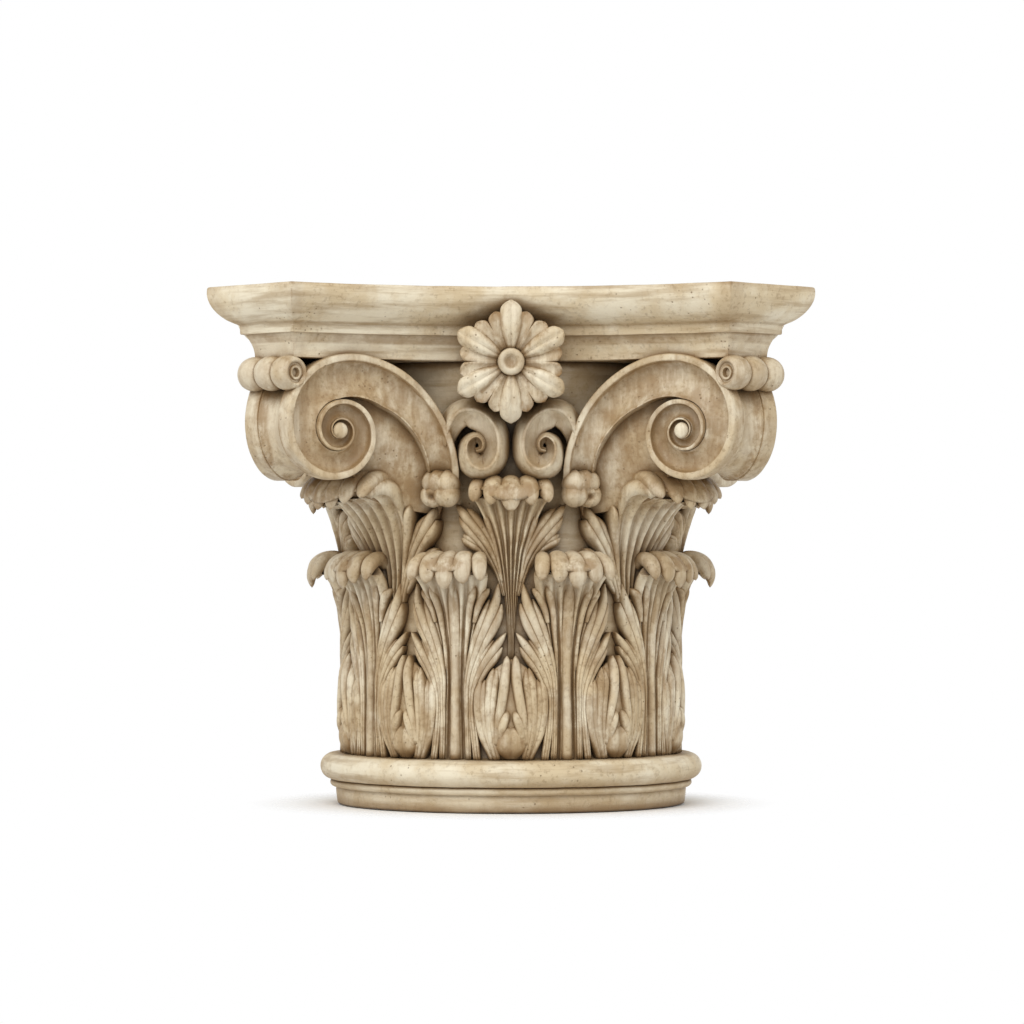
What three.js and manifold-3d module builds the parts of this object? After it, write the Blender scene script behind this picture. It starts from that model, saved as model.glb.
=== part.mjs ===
// A Corinthian capital, cast in one piece: a round base ring, a bell with two rows of acanthus
// leaves, volutes at the four corners, small scrolls and a rosette on each side, and a moulded
// abacus with hollow sides and cut corners.
// Millimetres, +Z up. The origin is the centre of the underside, and the front faces -Y.

import * as THREE from "three";
import { mergeVertices } from "three/addons/utils/BufferGeometryUtils.js";
import Module from "manifold-3d";

// Driving dimensions

const HEIGHT = 351;
const SIDES = 4;

// Base ring and bell, as radius and height
const FOOT_RADIUS = 121;
const FOOT_HEIGHT = 12;
const BEAD_RADIUS = 126.5;
const BEAD_TOP = 18;
const TORUS_RADIUS = 133;
const TORUS_TOP = 35.5;
const BELL_LOWER_RADIUS = 112;
const BELL_WAIST_RADIUS = 108;
const BELL_WAIST_HEIGHT = 185;
const BELL_LIP_RADIUS = 121;
const BELL_FACETS = 30;

// Abacus: half width to a corner tip, half width to the arris beside it, hollow of a side
const ABACUS_HALF = 202;
const ABACUS_ARRIS = 142.5;
const ABACUS_HOLLOW = 48;
const ABACUS_UNDERSIDE = 303;
const ABACUS_FILLET_LOW = 319;
const ABACUS_FILLET_HIGH = 325.5;
const OVOLO_LEVELS = [
  [14.5, 328.5],
  [6, 334.6],
  [1, 342.5],
  [0, HEIGHT],
];
const FILLET_INSET = 22;
const CAVETTO_TOP_INSET = 27;
const CAVETTO_FOOT_INSET = 32;
const ABACUS_SIDE_STEPS = 5;

// Volutes: they lie on an upright hollow arc in front of each side, about an eye on that arc
const VOLUTE_ARC_RADIUS = 255;
const VOLUTE_ARC_NEAREST = 125;
const VOLUTE_EYE_ALONG = 118.5;
const VOLUTE_EYE_HEIGHT = 256;
const VOLUTE_TOP_RADIUS = 50.5;
const VOLUTE_GROWTH = 0.235;
const VOLUTE_STEM_GROWTH = 0.195;
const VOLUTE_LAST_QUARTER = 1.2;
const STATIONS_PER_TURN = 8;
const VOLUTE_STATIONS = 14;
const STEM_STATIONS = 3;
const STEM_WIDTH = 30;
const RIM_WIDTH = 5;
const RIM_PROUD = 4;
const CHANNEL_PROUD = -4;
const RECESS_PROUD = -11;
const EYE_RADIUS = 8;
const EYE_PROUD = 7;
const EDGE_HOLLOW = 0.86;

// Corner roll: three rings on a level spindle across the corner
const ROLL_CORNER_RADIUS = 221;
const ROLL_HEIGHT = 293.5;
const ROLL_RING_RADIUS = 11.5;
const ROLL_NECK_RADIUS = 8.5;
const ROLL_RING_PITCH = 17;
const ROLL_RINGS = 3;
const ROLL_FACETS = 7;

// Small scrolls under the rosette
const SCROLL_EYE_ALONG = 23;
const SCROLL_EYE_HEIGHT = 246;
const SCROLL_TOP_RADIUS = 24;
const SCROLL_GROWTH = 0.16;
const SCROLL_FIRST_QUARTER = -4;
const SCROLL_LAST_QUARTER = 0.6;
const SCROLL_STEPS = 8;
const SCROLL_BAND = 7;
const SCROLL_FACE_RADIUS = 136;
const SCROLL_BACK_RADIUS = 104;

// Rosette on the middle of each side
const ROSETTE_HEIGHT = 301;
const ROSETTE_RADIUS = 38.5;
const ROSETTE_PETALS = 6;
const ROSETTE_FACE = 150;
const ROSETTE_BACK = 112;
const ROSETTE_BUTTON_RADIUS = 9;
const ROSETTE_BUTTON_PROUD = 7;

// Leaf rows: number of leaves and the angle of the first, from the front
const TALL_LEAVES = 10;
const TALL_FIRST_ANGLE = Math.PI / TALL_LEAVES;
const UPPER_LEAVES = 8;

const wasm = await Module();
wasm.setup();

// Helpers

const QUARTER = Math.PI / 2;
const UP = new THREE.Vector3(0, 0, 1);

// A point at a radius and height, at an angle from the front towards +X
function around(radius, angle, z) {
  return new THREE.Vector3(radius * Math.sin(angle), -radius * Math.cos(angle), z);
}

// The value at t on a short list of [t, value] pairs
function along(pairs, t) {
  const next = pairs.findIndex(([at]) => at >= t);
  if (next <= 0) return pairs.at(next)[1];
  const [t0, value0] = pairs[next - 1];
  const [t1, value1] = pairs[next];
  return value0 + ((t - t0) / (t1 - t0)) * (value1 - value0);
}

function steps(count) {
  return Array.from({ length: count + 1 }, (_, i) => i / count);
}

// A closed mesh over rings of points with equal counts, with a fan over each end
function loft(rings) {
  const count = rings[0].length;
  const points = rings.flat();
  const triangles = [];
  for (let ring = 0; ring + 1 < rings.length; ring++) {
    for (let i = 0; i < count; i++) {
      const a = ring * count + i;
      const b = ring * count + ((i + 1) % count);
      triangles.push(a, b, b + count, a, b + count, a + count);
    }
  }
  for (const [ring, turn] of [[rings[0], -1], [rings.at(-1), 1]]) {
    const middle = new THREE.Vector3();
    ring.forEach((p) => middle.add(p));
    points.push(middle.divideScalar(count));
    const start = turn < 0 ? 0 : (rings.length - 1) * count;
    for (let i = 0; i < count; i++) {
      const pair = [start + i, start + ((i + 1) % count)];
      if (turn < 0) pair.reverse();
      triangles.push(points.length - 1, ...pair);
    }
  }
  return new THREE.BufferGeometry().setFromPoints(points).setIndex(triangles);
}

// A closed geometry as a solid, turned so that its faces point outwards
function solid(geometry) {
  const bare = geometry.clone();
  bare.deleteAttribute("normal");
  bare.deleteAttribute("uv");
  const merged = mergeVertices(bare, 1e-3);
  const vertProperties = new Float32Array(merged.attributes.position.array);
  const triVerts = new Uint32Array(merged.index.array);
  const made = new wasm.Manifold(new wasm.Mesh({ numProp: 3, vertProperties, triVerts }));
  if (made.volume() > 0) return made;
  for (let i = 0; i < triVerts.length; i += 3) {
    [triVerts[i + 1], triVerts[i + 2]] = [triVerts[i + 2], triVerts[i + 1]];
  }
  return new wasm.Manifold(new wasm.Mesh({ numProp: 3, vertProperties, triVerts }));
}

function geometryOf(made) {
  const mesh = made.getMesh();
  return new THREE.BufferGeometry()
    .setAttribute("position", new THREE.BufferAttribute(mesh.vertProperties, 3))
    .setIndex(new THREE.BufferAttribute(mesh.triVerts, 1));
}

function mirrored(geometry) {
  return geometry.clone().scale(-1, 1, 1);
}

// Base ring and bell, turned about the upright axis

function bellRadius(z) {
  const below = [TORUS_TOP, BELL_LOWER_RADIUS];
  const waist = [BELL_WAIST_HEIGHT, BELL_WAIST_RADIUS];
  const lip = [ABACUS_UNDERSIDE, BELL_LIP_RADIUS];
  return along([below, waist, lip], Math.min(Math.max(z, TORUS_TOP), ABACUS_UNDERSIDE));
}

function baseAndBell() {
  const torusLow = BEAD_TOP;
  const torusHalf = (TORUS_TOP - torusLow) / 2;
  const torus = [-60, -20, 20, 60].map((degrees) => {
    const angle = THREE.MathUtils.degToRad(degrees);
    const radius = TORUS_RADIUS - torusHalf * (1 - Math.cos(angle));
    return [radius, torusLow + torusHalf * (1 + Math.sin(angle))];
  });
  const profile = [
    [0, 0],
    [FOOT_RADIUS, 0],
    [FOOT_RADIUS + 1.5, FOOT_HEIGHT],
    [BEAD_RADIUS, FOOT_HEIGHT + 1],
    [BEAD_RADIUS, BEAD_TOP],
    ...torus,
    [BELL_LOWER_RADIUS + 5, TORUS_TOP],
    [BELL_LOWER_RADIUS, TORUS_TOP + 3],
    [BELL_WAIST_RADIUS, BELL_WAIST_HEIGHT],
    [BELL_LIP_RADIUS, ABACUS_UNDERSIDE + 1],
    [0, ABACUS_UNDERSIDE + 1],
  ];
  const points = profile.map(([radius, z]) => new THREE.Vector2(radius, z));
  return new THREE.LatheGeometry(points, BELL_FACETS).rotateX(QUARTER);
}

// Abacus: hollow sides between cut corners, moulded as ovolo, fillet and cavetto

function abacusOutline(inset, z) {
  const reach = ABACUS_HALF - inset;
  const arcRadius = (ABACUS_ARRIS ** 2 + ABACUS_HOLLOW ** 2) / (2 * ABACUS_HOLLOW);
  const arcCentre = reach - ABACUS_HOLLOW + arcRadius;
  const points = [];
  for (let side = 0; side < SIDES; side++) {
    for (const t of steps(ABACUS_SIDE_STEPS)) {
      const x = ABACUS_ARRIS * (2 * t - 1);
      const y = -(arcCentre - Math.sqrt(arcRadius ** 2 - x ** 2));
      points.push(new THREE.Vector3(x, y, z).applyAxisAngle(UP, side * QUARTER));
    }
  }
  return points;
}

function abacus() {
  const ovolo = OVOLO_LEVELS.map(([inset, z]) => abacusOutline(inset, z));
  return loft([
    abacusOutline(CAVETTO_FOOT_INSET, ABACUS_UNDERSIDE),
    abacusOutline(CAVETTO_FOOT_INSET - 1, (ABACUS_UNDERSIDE + ABACUS_FILLET_LOW) / 2),
    abacusOutline(CAVETTO_TOP_INSET, ABACUS_FILLET_LOW),
    abacusOutline(FILLET_INSET, ABACUS_FILLET_LOW + 0.5),
    abacusOutline(FILLET_INSET, ABACUS_FILLET_HIGH),
    ...ovolo,
  ]);
}

// Volutes

// A point on the hollow arc in front of the front side, by distance along it from the middle
function onVoluteFace(distance, z, proud) {
  const angle = distance / VOLUTE_ARC_RADIUS;
  const radius = VOLUTE_ARC_RADIUS - proud;
  const centre = VOLUTE_ARC_NEAREST + VOLUTE_ARC_RADIUS;
  return new THREE.Vector3(radius * Math.sin(angle), radius * Math.cos(angle) - centre, z);
}

// The outer edge of the band. Quarter 0 is the top of the scroll, and 1 faces the side's middle
function voluteRadius(quarter) {
  const stem = VOLUTE_STEM_GROWTH * Math.max(quarter, 0) ** 2;
  return VOLUTE_TOP_RADIUS * Math.exp(VOLUTE_GROWTH * quarter + stem);
}

function onVolute(quarter, radius, proud) {
  const angle = quarter * QUARTER;
  const distance = VOLUTE_EYE_ALONG - radius * Math.sin(angle);
  return onVoluteFace(distance, VOLUTE_EYE_HEIGHT + radius * Math.cos(angle), proud);
}

function acrossCorner(p) {
  return new THREE.Vector3(-p.y, -p.x, p.z);
}

// One corner's pair of scrolls. Each face is a ribbon that winds from the end of the stem in to the
// eye: a rim, a channel that slopes down to the next turn, and a recess between stem and turns.
function cornerVolutes() {
  const points = [];
  const triangles = [];
  const add = (p) => points.push(p) - 1;
  const quad = (a, b, c, d) => triangles.push([a, b, c], [a, c, d]);
  const strip = (outer, inner, first, last) => {
    for (let i = first; i < last; i++) quad(outer[i], inner[i], inner[i + 1], outer[i + 1]);
  };

  const rim = [];
  const lip = [];
  const foot = [];
  const floor = [];
  const turnFoot = [];
  for (let i = 0; i < VOLUTE_STATIONS; i++) {
    const quarter = VOLUTE_LAST_QUARTER - (4 * i) / STATIONS_PER_TURN;
    const outer = voluteRadius(quarter);
    const turn = voluteRadius(quarter - 4);
    const hasTurn = i + STATIONS_PER_TURN < VOLUTE_STATIONS;
    const inner = hasTurn ? Math.max(turn, outer - STEM_WIDTH) : EYE_RADIUS;
    const rimWidth = Math.min(RIM_WIDTH, (outer - inner) / 3);
    rim.push(add(onVolute(quarter, outer, RIM_PROUD)));
    lip.push(add(onVolute(quarter, outer - rimWidth, RIM_PROUD)));
    foot.push(add(onVolute(quarter, inner, CHANNEL_PROUD)));
    if (i < STEM_STATIONS) {
      floor.push(add(onVolute(quarter, inner, RECESS_PROUD)));
      turnFoot.push(add(onVolute(quarter, turn, RECESS_PROUD)));
    }
  }
  const nextTurn = rim.slice(STATIONS_PER_TURN);
  const last = VOLUTE_STATIONS - 1;
  const stemEnd = STEM_STATIONS - 1;
  const turnEnd = nextTurn.length - 1;

  strip(rim, lip, 0, last);
  strip(lip, foot, 0, last);
  strip(foot, floor, 0, stemEnd);
  strip(floor, turnFoot, 0, stemEnd);
  strip(turnFoot, nextTurn, 0, stemEnd);
  triangles.push([foot[stemEnd], floor[stemEnd], foot[STEM_STATIONS]]);
  triangles.push([floor[stemEnd], turnFoot[stemEnd], foot[STEM_STATIONS]]);
  quad(turnFoot[stemEnd], nextTurn[stemEnd], nextTurn[STEM_STATIONS], foot[STEM_STATIONS]);
  strip(foot, nextTurn, STEM_STATIONS, turnEnd);

  const eye = add(onVolute(0, 0, EYE_PROUD));
  const eyeRing = foot.slice(turnEnd + 1);
  eyeRing.forEach((p, i) => triangles.push([eye, eyeRing[(i + 1) % eyeRing.length], p]));
  const start = foot[turnEnd];
  triangles.push([start, rim[last], lip[last]]);
  triangles.push([start, lip[last], foot[last]]);
  triangles.push([start, foot[last], eyeRing[0]]);

  // The same face on the side, and the hollow edge between the two
  const faceCount = points.length;
  const faceTriangles = [...triangles];
  points.slice(0, faceCount).forEach((p) => add(acrossCorner(p)));
  faceTriangles.forEach(([a, b, c]) => triangles.push([a, c, b].map((i) => i + faceCount)));
  const edge = rim.slice(0, STATIONS_PER_TURN + 1).reverse();
  const loop = [...edge, lip[0], foot[0], floor[0], turnFoot[0]];
  const centre = points[eye];
  const middle = loop.map((i) => {
    const drawnIn = points[i].clone().lerp(centre, 1 - EDGE_HOLLOW);
    return add(drawnIn.lerp(acrossCorner(drawnIn), 0.5));
  });
  loop.forEach((a, j) => {
    const next = (j + 1) % loop.length;
    quad(loop[next], a, middle[j], middle[next]);
    quad(middle[next], middle[j], a + faceCount, loop[next] + faceCount);
  });
  return new THREE.BufferGeometry().setFromPoints(points).setIndex(triangles.flat());
}

function cornerRoll() {
  const half = (ROLL_RINGS * ROLL_RING_PITCH) / 2;
  const points = [new THREE.Vector2(0, -half)];
  for (let ring = 0; ring < ROLL_RINGS; ring++) {
    const start = ring * ROLL_RING_PITCH - half;
    points.push(new THREE.Vector2(ROLL_NECK_RADIUS, start));
    points.push(new THREE.Vector2(ROLL_RING_RADIUS, start + ROLL_RING_PITCH / 2));
  }
  points.push(new THREE.Vector2(ROLL_NECK_RADIUS, half));
  points.push(new THREE.Vector2(0, half));
  return new THREE.LatheGeometry(points, ROLL_FACETS)
    .rotateZ(QUARTER)
    .translate(0, -ROLL_CORNER_RADIUS, ROLL_HEIGHT)
    .rotateZ(QUARTER / 2);
}

// Small scrolls: a band that starts beside the volute's stem and curls in under the rosette

function smallScroll() {
  return loft(
    steps(SCROLL_STEPS).map((t) => {
      const quarter = SCROLL_FIRST_QUARTER + t * (SCROLL_LAST_QUARTER - SCROLL_FIRST_QUARTER);
      const outer = SCROLL_TOP_RADIUS * Math.exp(SCROLL_GROWTH * quarter);
      const inner = Math.max(outer - SCROLL_BAND, 1);
      const angle = -quarter * QUARTER;
      const at = (radius, depth) => {
        const x = SCROLL_EYE_ALONG - radius * Math.sin(angle);
        return new THREE.Vector3(x, -depth, SCROLL_EYE_HEIGHT + radius * Math.cos(angle));
      };
      return [
        at(outer, SCROLL_FACE_RADIUS),
        at(inner, SCROLL_FACE_RADIUS - 2),
        at((inner + outer) / 2, SCROLL_BACK_RADIUS),
      ];
    }),
  );
}

// Rosette: rings of points from the button out over the petals and back to the bell
function rosette() {
  const spokes = 2 * ROSETTE_PETALS;
  const ring = (petalRadius, gapRadius, petalDepth, gapDepth) =>
    Array.from({ length: spokes }, (_, i) => {
      const angle = (i * 2 * Math.PI) / spokes;
      const petal = i % 2 === 0;
      const radius = petal ? petalRadius : gapRadius;
      const y = -(petal ? petalDepth : gapDepth);
      const z = ROSETTE_HEIGHT + radius * Math.cos(angle);
      return new THREE.Vector3(radius * Math.sin(angle), y, z);
    });
  const button = ROSETTE_BUTTON_RADIUS;
  const face = ROSETTE_FACE;
  const gap = ROSETTE_RADIUS * 0.78;
  return loft([
    ring(button / 2, button / 2, face + ROSETTE_BUTTON_PROUD, face + ROSETTE_BUTTON_PROUD),
    ring(button, button, face - 1, face - 1),
    ring(ROSETTE_RADIUS * 0.68, ROSETTE_RADIUS * 0.6, face + 2, face - 6),
    ring(ROSETTE_RADIUS, gap, face - 3, face - 9),
    ring(gap, gap, ROSETTE_BACK, ROSETTE_BACK),
  ]);
}

// Leaves

// How far a leaf's edges and back lie behind its path, from its foot to its tip
const EDGE_SINK = [
  [0, 7],
  [0.6, 6],
  [0.8, 1],
  [1, 0],
];
const BACK_SINK = [
  [0, 14],
  [0.6, 14],
  [0.8, 6],
  [1, 3],
];

// A leaf's middle: a ribbed blade on a path of [radius, height] points, curled over at its tip
function leafMiddle(angle, path, widths, rise, count) {
  const curve = new THREE.SplineCurve(path.map(([r, z]) => new THREE.Vector2(r, z)));
  return loft(
    steps(count).map((t) => {
      const at = curve.getPoint(t);
      const tangent = curve.getTangent(t);
      const outward = new THREE.Vector2(tangent.y, -tangent.x);
      const half = along(widths, t);
      const place = (across, proud) => {
        const p = at.clone().addScaledVector(outward, proud);
        return around(p.x, angle + (across * half) / at.x, p.y);
      };
      const sunk = along(EDGE_SINK, t);
      return [
        place(-1, -sunk),
        place(-0.5, rise),
        place(0, rise * 0.5),
        place(0.5, rise),
        place(1, -sunk),
        place(0, -along(BACK_SINK, t)),
      ];
    }),
  );
}

// A side leaflet: a ridge along a path of [across, height] points over the bell
function leaflet(angle, path, halfWidth, rise) {
  const curve = new THREE.SplineCurve(path.map(([a, z]) => new THREE.Vector2(a, z)));
  const shape = [
    [0, 0.5],
    [0.6, 1],
    [1, 0.25],
  ];
  return loft(
    shape.map(([t, share]) => {
      const at = curve.getPoint(t);
      const tangent = curve.getTangent(t);
      const place = (side, proud) => {
        const across = at.x + side * halfWidth * share * tangent.y;
        const z = at.y - side * halfWidth * share * tangent.x;
        const radius = bellRadius(z) + proud;
        return around(radius, angle + across / BELL_LOWER_RADIUS, z);
      };
      return [place(-1, -6), place(0, rise), place(1, -6)];
    }),
  );
}

// Lower row: a tall leaf with two leaflets on either hand
const TALL_PATH = [
  [114, 33],
  [116, 75],
  [116.5, 115],
  [120, 140],
  [128, 160],
  [137, 169],
  [142, 164],
  [140, 155],
];
const TALL_WIDTHS = [
  [0, 16],
  [0.45, 13],
  [0.65, 18],
  [0.8, 25],
  [0.9, 23],
  [1, 10],
];
const TALL_LEAFLETS = [{ path: [[7, 85], [18, 118], [30, 150]], halfWidth: 11, rise: 9 }];

function tallLeaf(angle) {
  const pieces = [leafMiddle(angle, TALL_PATH, TALL_WIDTHS, 4, 7)];
  for (const { path, halfWidth, rise } of TALL_LEAFLETS) {
    const opposite = path.map(([across, z]) => [-across, z]);
    pieces.push(leaflet(angle, path, halfWidth, rise));
    pieces.push(leaflet(angle, opposite, halfWidth, rise));
  }
  return pieces;
}

// A short leaf between two tall ones, closed and rounded like a bud
const SHORT_PATH = [
  [115, 34],
  [119.5, 55],
  [120.5, 75],
  [118, 92],
  [113, 104],
];
const SHORT_WIDTHS = [
  [0, 14],
  [0.3, 23],
  [0.6, 22],
  [0.85, 13],
  [1, 3],
];

function shortLeaf(angle) {
  return leafMiddle(angle, SHORT_PATH, SHORT_WIDTHS, 4, 4);
}

// Upper row: leaves under the rosettes and larger ones under the corners
const MIDDLE_PATH = [
  [110, 102],
  [113, 150],
  [117, 185],
  [124, 206],
  [132, 219],
  [139, 219],
  [141, 211],
];
const MIDDLE_WIDTHS = [
  [0, 4],
  [0.3, 8],
  [0.55, 21],
  [0.8, 27],
  [1, 12],
];
const CORNER_PATH = [
  [110, 140],
  [116, 172],
  [128, 198],
  [148, 217],
  [166, 220],
  [178, 213],
  [178, 204],
];
const CORNER_WIDTHS = [
  [0, 16],
  [0.35, 28],
  [0.7, 32],
  [0.85, 28],
  [1, 14],
];
const UPPER_LEAFLETS = [{ path: [[8, 160], [20, 190], [34, 212]], halfWidth: 12, rise: 12 }];

function upperLeaf(angle, corner) {
  if (corner) return [leafMiddle(angle, CORNER_PATH, CORNER_WIDTHS, 4, 6)];
  const pieces = [leafMiddle(angle, MIDDLE_PATH, MIDDLE_WIDTHS, 4, 6)];
  for (const { path, halfWidth, rise } of UPPER_LEAFLETS) {
    const opposite = path.map(([across, z]) => [-across, z]);
    pieces.push(leaflet(angle, path, halfWidth, rise));
    pieces.push(leaflet(angle, opposite, halfWidth, rise));
  }
  return pieces;
}

// A bud where each volute's stem leaves the leaves
const BUD_ANGLE = 0.36;
const BUD_RADIUS = 124;
const BUD_HEIGHT = 218;
const BUD_SIZE = 12;

function bud(angle) {
  const centre = around(BUD_RADIUS, angle, BUD_HEIGHT);
  return new THREE.IcosahedronGeometry(BUD_SIZE, 0).translate(...centre);
}

// Everything that one side of the capital repeats
function sideOrnament() {
  const scroll = smallScroll();
  return [
    cornerRoll(),
    scroll,
    mirrored(scroll),
    rosette(),
    bud(BUD_ANGLE),
    bud(-BUD_ANGLE),
  ];
}

function capital() {
  const pieces = [baseAndBell(), abacus()];
  for (let side = 0; side < SIDES; side++) {
    sideOrnament().forEach((ornament) => pieces.push(ornament.rotateZ(side * QUARTER)));
    pieces.push(cornerVolutes().rotateZ(side * QUARTER));
  }
  for (let i = 0; i < TALL_LEAVES; i++) {
    const angle = TALL_FIRST_ANGLE * (2 * i + 1);
    pieces.push(...tallLeaf(angle), shortLeaf(angle + TALL_FIRST_ANGLE));
  }
  for (let i = 0; i < UPPER_LEAVES; i++) {
    const angle = (i * 2 * Math.PI) / UPPER_LEAVES;
    pieces.push(...upperLeaf(angle, i % 2 === 1));
  }
  return pieces.map(solid).reduce((joined, piece) => joined.add(piece));
}

const castStone = new THREE.MeshStandardMaterial({
  color: 0xd8ccb6,
  roughness: 0.7,
  metalness: 0,
});
const piece = new THREE.Mesh(geometryOf(capital()), castStone);
piece.name = "capital";

const part = new THREE.Group();
part.add(piece);

export default part;
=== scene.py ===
import math

import bmesh
import bpy
import numpy as np
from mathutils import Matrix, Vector


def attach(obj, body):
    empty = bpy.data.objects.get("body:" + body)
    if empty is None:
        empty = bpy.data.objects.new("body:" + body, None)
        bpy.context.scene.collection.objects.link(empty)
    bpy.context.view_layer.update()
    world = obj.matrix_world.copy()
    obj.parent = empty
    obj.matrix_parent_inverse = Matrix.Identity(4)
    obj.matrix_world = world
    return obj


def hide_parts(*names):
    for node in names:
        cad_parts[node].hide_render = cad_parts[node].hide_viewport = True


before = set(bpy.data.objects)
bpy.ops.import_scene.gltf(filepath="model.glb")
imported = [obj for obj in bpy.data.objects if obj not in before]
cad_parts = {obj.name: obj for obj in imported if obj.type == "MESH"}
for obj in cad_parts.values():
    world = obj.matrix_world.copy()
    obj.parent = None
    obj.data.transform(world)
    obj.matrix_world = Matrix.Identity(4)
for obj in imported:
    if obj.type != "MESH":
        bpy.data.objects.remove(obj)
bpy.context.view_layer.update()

# Base ring and bell
# The foot disc, bead and torus under the leaves, and the plain bell that the carving stands on.
# They are the turned core of the one plaster casting, so every later piece is cast on to them.
MM = 0.001
FOOT = [(0, 0), (118.6, 0), (120.6, 0.7), (121.3, 2.2), (121.9, 6), (122.3, 10.6), (121.6, 12.2)]
BEAD_MIDDLE = (123.6, 15.3)
BEAD_RADIUS = 2.7
TORUS_MIDDLE = (124.4, 26.6)
TORUS_REACH = 8.8
TORUS_HALF_HEIGHT = 8.9
BELL = [(35.5, 112), (120, 110), (185, 108), (235, 110.5), (280, 116), (298, 121), (303, 121.5)]
TURNED_STEPS = 256


def bell_radius(z):
    heights, radii = zip(*BELL)
    return np.interp(z, heights, radii)


def smooth_rows(rows, count):
    """Draws control rows as a smooth curve through them, in equal steps along the first two columns."""
    rows = np.asarray(rows, float)
    lengths = np.linalg.norm(np.diff(rows[:, :2], axis=0), axis=1)
    at = np.concatenate([[0.0], np.cumsum(lengths)])
    slope = np.gradient(rows, at, axis=0)
    t = np.linspace(0.0, at[-1], count)
    i = np.clip(np.searchsorted(at, t, side="right") - 1, 0, len(at) - 2)
    span = (at[i + 1] - at[i])[:, None]
    s = (t - at[i])[:, None] / span
    return (
        (2 * s**3 - 3 * s**2 + 1) * rows[i]
        + (s**3 - 2 * s**2 + s) * span * slope[i]
        + (3 * s**2 - 2 * s**3) * rows[i + 1]
        + (s**3 - s**2) * span * slope[i + 1]
    )


def around(radius, angle, z):
    """Points at a radius and height, at an angle from the front towards +X, in millimetres."""
    radius, angle, z = np.broadcast_arrays(radius, angle, z)
    return np.stack([radius * np.sin(angle), -radius * np.cos(angle), z], axis=-1)


def skin(rings, stain=0.0):
    """A closed surface over rings of points, with a fan over each end, and how stained it is."""
    n, m, _ = rings.shape
    here = np.arange(n * m).reshape(n, m)
    beside = np.roll(here, -1, axis=1)
    quads = np.stack([here[:-1], beside[:-1], beside[1:], here[1:]], axis=-1).reshape(-1, 4)
    first, last = n * m, n * m + 1
    low = np.stack([np.full(m, first), beside[0], here[0]], axis=-1)
    high = np.stack([np.full(m, last), here[-1], beside[-1]], axis=-1)
    points = np.concatenate([rings.reshape(-1, 3), rings[0].mean(0)[None], rings[-1].mean(0)[None]])
    stain = np.broadcast_to(stain, (n, m))
    stains = np.concatenate([stain.reshape(-1), [stain[0].mean(), stain[-1].mean()]])
    return points, stains, quads.tolist() + low.tolist() + high.tolist()


def mirrored(shape):
    points, stains, faces = shape
    return points * (-1, 1, 1), stains, faces


def both_hands(shapes):
    return shapes + [mirrored(shape) for shape in shapes]


def carve(name, shapes, sharp=None):
    """One object from shapes in millimetres, faces turned outwards, with the stain kept as an attribute."""
    points, stains, faces, start = [], [], [], 0
    for shape_points, shape_stains, shape_faces in shapes:
        points.append(shape_points)
        stains.append(shape_stains)
        faces.extend([[i + start for i in face] for face in shape_faces])
        start += len(shape_points)
    mesh = bpy.data.meshes.new(name)
    mesh.from_pydata((np.concatenate(points) * MM).tolist(), [], faces)
    stain = mesh.attributes.new("stain", "FLOAT", "POINT")
    stain.data.foreach_set("value", np.concatenate(stains).astype(np.float32))
    shell = bmesh.new()
    shell.from_mesh(mesh)
    bmesh.ops.recalc_face_normals(shell, faces=shell.faces)
    shell.to_mesh(mesh)
    shell.free()
    mesh.shade_smooth()
    if sharp is not None:
        mesh.set_sharp_from_angle(angle=math.radians(sharp))
    piece = bpy.data.objects.new(name, mesh)
    bpy.context.scene.collection.objects.link(piece)
    return piece


def new_node(tree, kind, links=(), **settings):
    """Adds a node, sets its properties and joins its inputs by index to values or to other sockets."""
    node = tree.nodes.new(kind)
    for key, value in settings.items():
        setattr(node, key, value)
    for socket, value in links:
        if isinstance(value, bpy.types.NodeSocket):
            tree.links.new(value, node.inputs[socket])
        else:
            node.inputs[socket].default_value = value
    return node


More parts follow.
